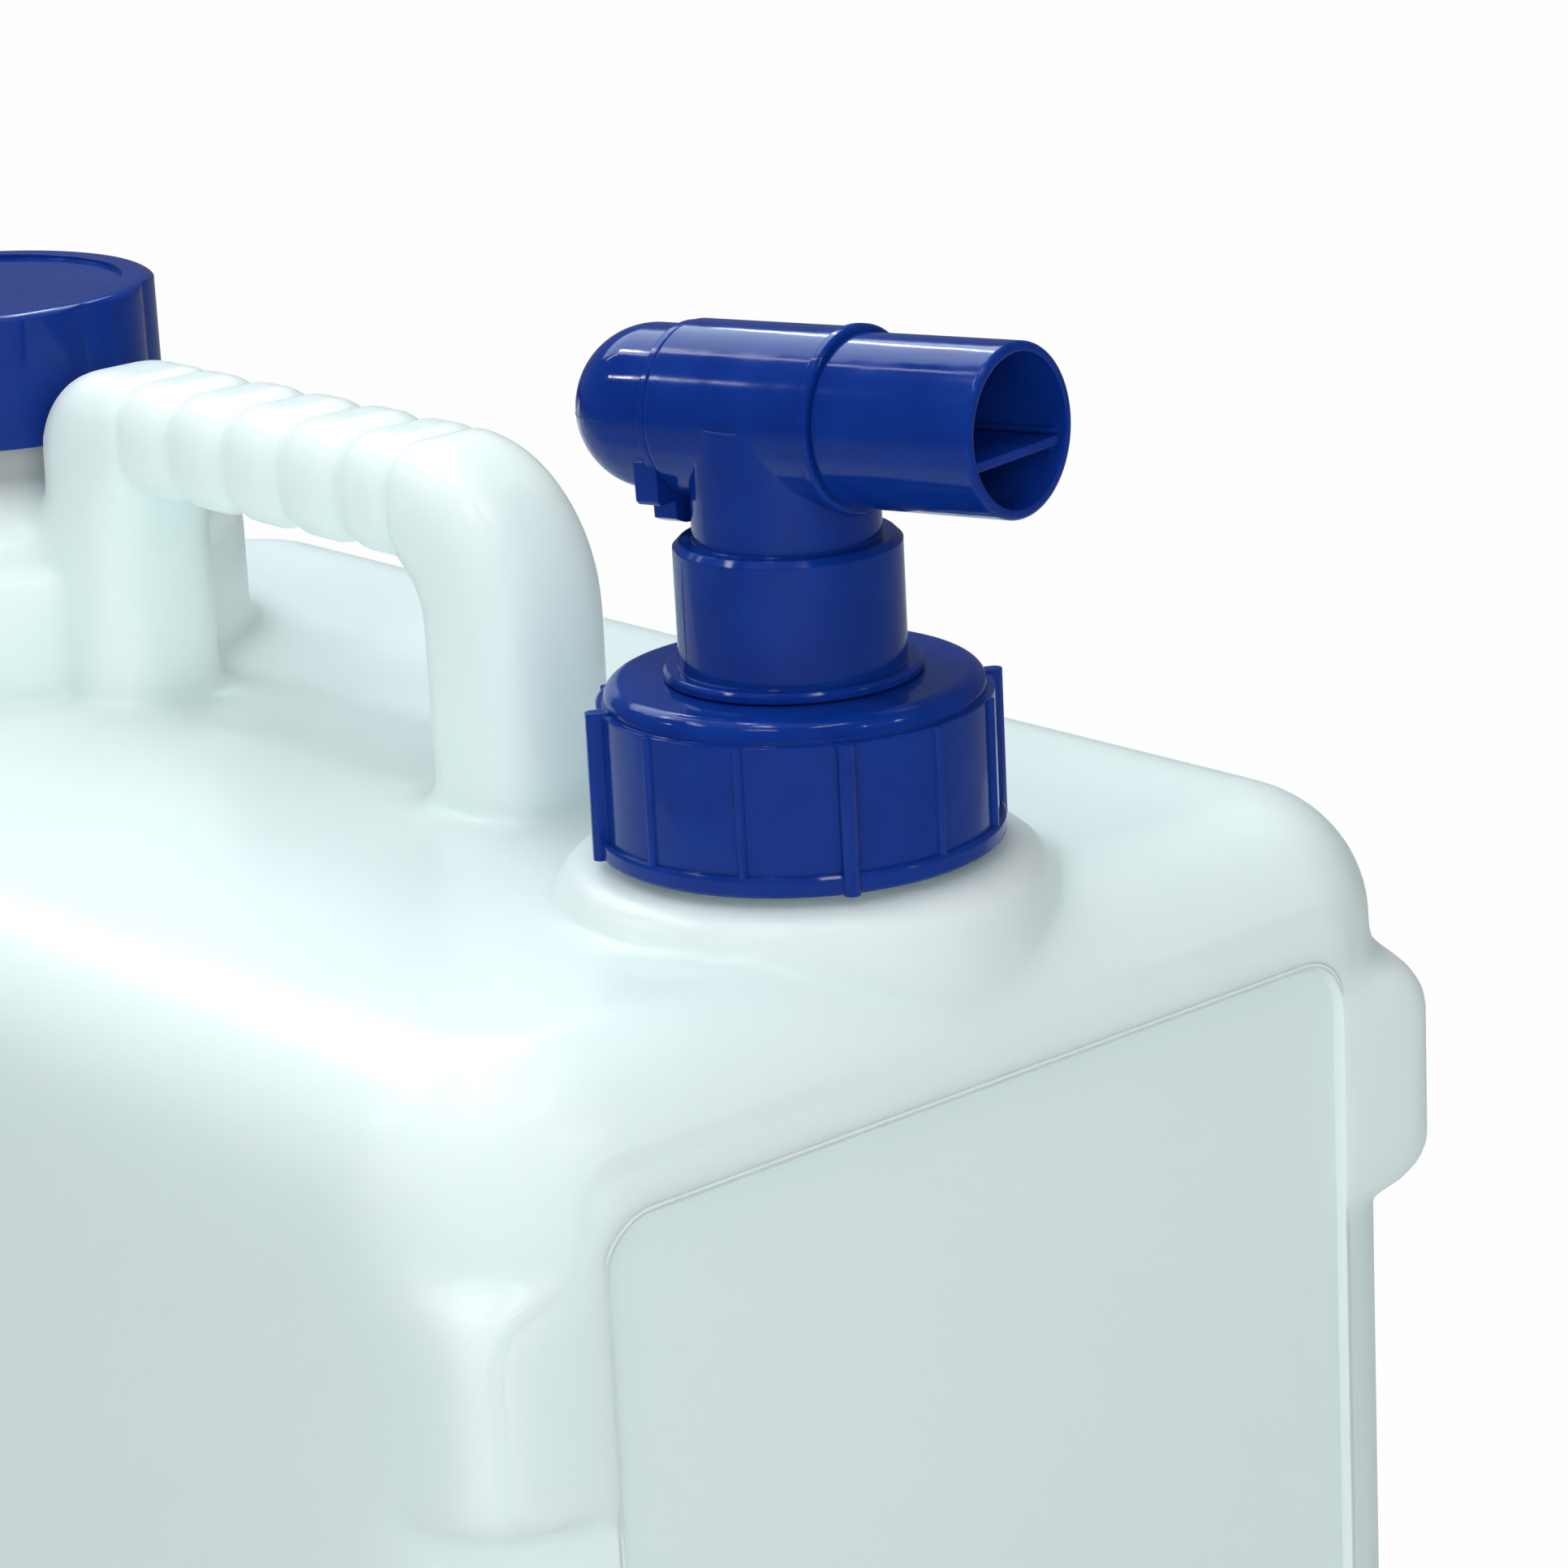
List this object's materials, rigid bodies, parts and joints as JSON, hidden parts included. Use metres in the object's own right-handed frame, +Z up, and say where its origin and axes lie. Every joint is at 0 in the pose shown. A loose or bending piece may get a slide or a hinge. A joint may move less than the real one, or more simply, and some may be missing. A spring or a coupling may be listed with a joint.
{
  "type": "fresh water tank",
  "caption": "Upright translucent water tank with a bridge carry handle, a screw fill cap and a swivelling rotary tap held by a ring nut.",
  "frame": {"origin": "centre of the tank's flat base, on the surface it stands on", "axes": "+Z up, +X along the tank's length towards the end with the tap, +Y across the tank"},
  "size_m": [0.3647, 0.23, 0.3512],
  "materials": {
    "tank_plastic": "translucent natural blow-moulded plastic",
    "blue_plastic": "glossy moulded plastic",
    "seal_rubber": "smooth black rubber"
  },
  "bodies": {
    "tank": {"tank_body": "tank_plastic"},
    "fill_seal": {"fill_cap_seal": "seal_rubber"},
    "fill_cap": {"fill_cap": "blue_plastic"},
    "tap_seat": {"tap_gasket": "seal_rubber"},
    "ring_nut": {"ring_nut": "blue_plastic"},
    "tap": {"tap_body": "blue_plastic", "tap_tail": "blue_plastic"},
    "spigot": {"tap_spigot": "blue_plastic", "spigot_end_cap": "blue_plastic", "spout_divider": "blue_plastic", "spigot_oring_front": "seal_rubber", "spigot_oring_rear": "seal_rubber"}
  },
  "joints": [
    {"name": "fill_cap_lift", "type": "slide", "parent": "tank", "child": "fill_seal", "axis": [0, 0, 1], "range_m": [0, 0.018]},
    {"name": "fill_cap_turn", "type": "hinge", "parent": "fill_seal", "child": "fill_cap", "pos_m": [-0.123, 0, 0.3], "axis": [0, 0, 1], "range_deg": [0, 1080]},
    {"name": "tap_lift", "type": "slide", "parent": "tank", "child": "tap_seat", "axis": [0, 0, 1], "range_m": [0, 0.018]},
    {"name": "ring_nut_turn", "type": "hinge", "parent": "tap_seat", "child": "ring_nut", "pos_m": [0.1326, 0, 0.2586], "axis": [0, 0, 1], "range_deg": [0, 1080]},
    {"name": "tap_swivel", "type": "hinge", "parent": "tap_seat", "child": "tap", "pos_m": [0.1326, 0, 0.2586], "axis": [0, 0, 1], "continuous": true},
    {"name": "tap_valve", "type": "hinge", "parent": "tap", "child": "spigot", "pos_m": [0.1326, 0, 0.3342], "axis": [-0.9839, -0.1735, -0.0436], "range_deg": [0, 180]}
  ],
  "couplings": [
    {"joint": "fill_cap_lift", "follows": "fill_cap_turn", "m_per_rad": 0.00095493},
    {"joint": "tap_lift", "follows": "ring_nut_turn", "m_per_rad": 0.00095493}
  ]
}
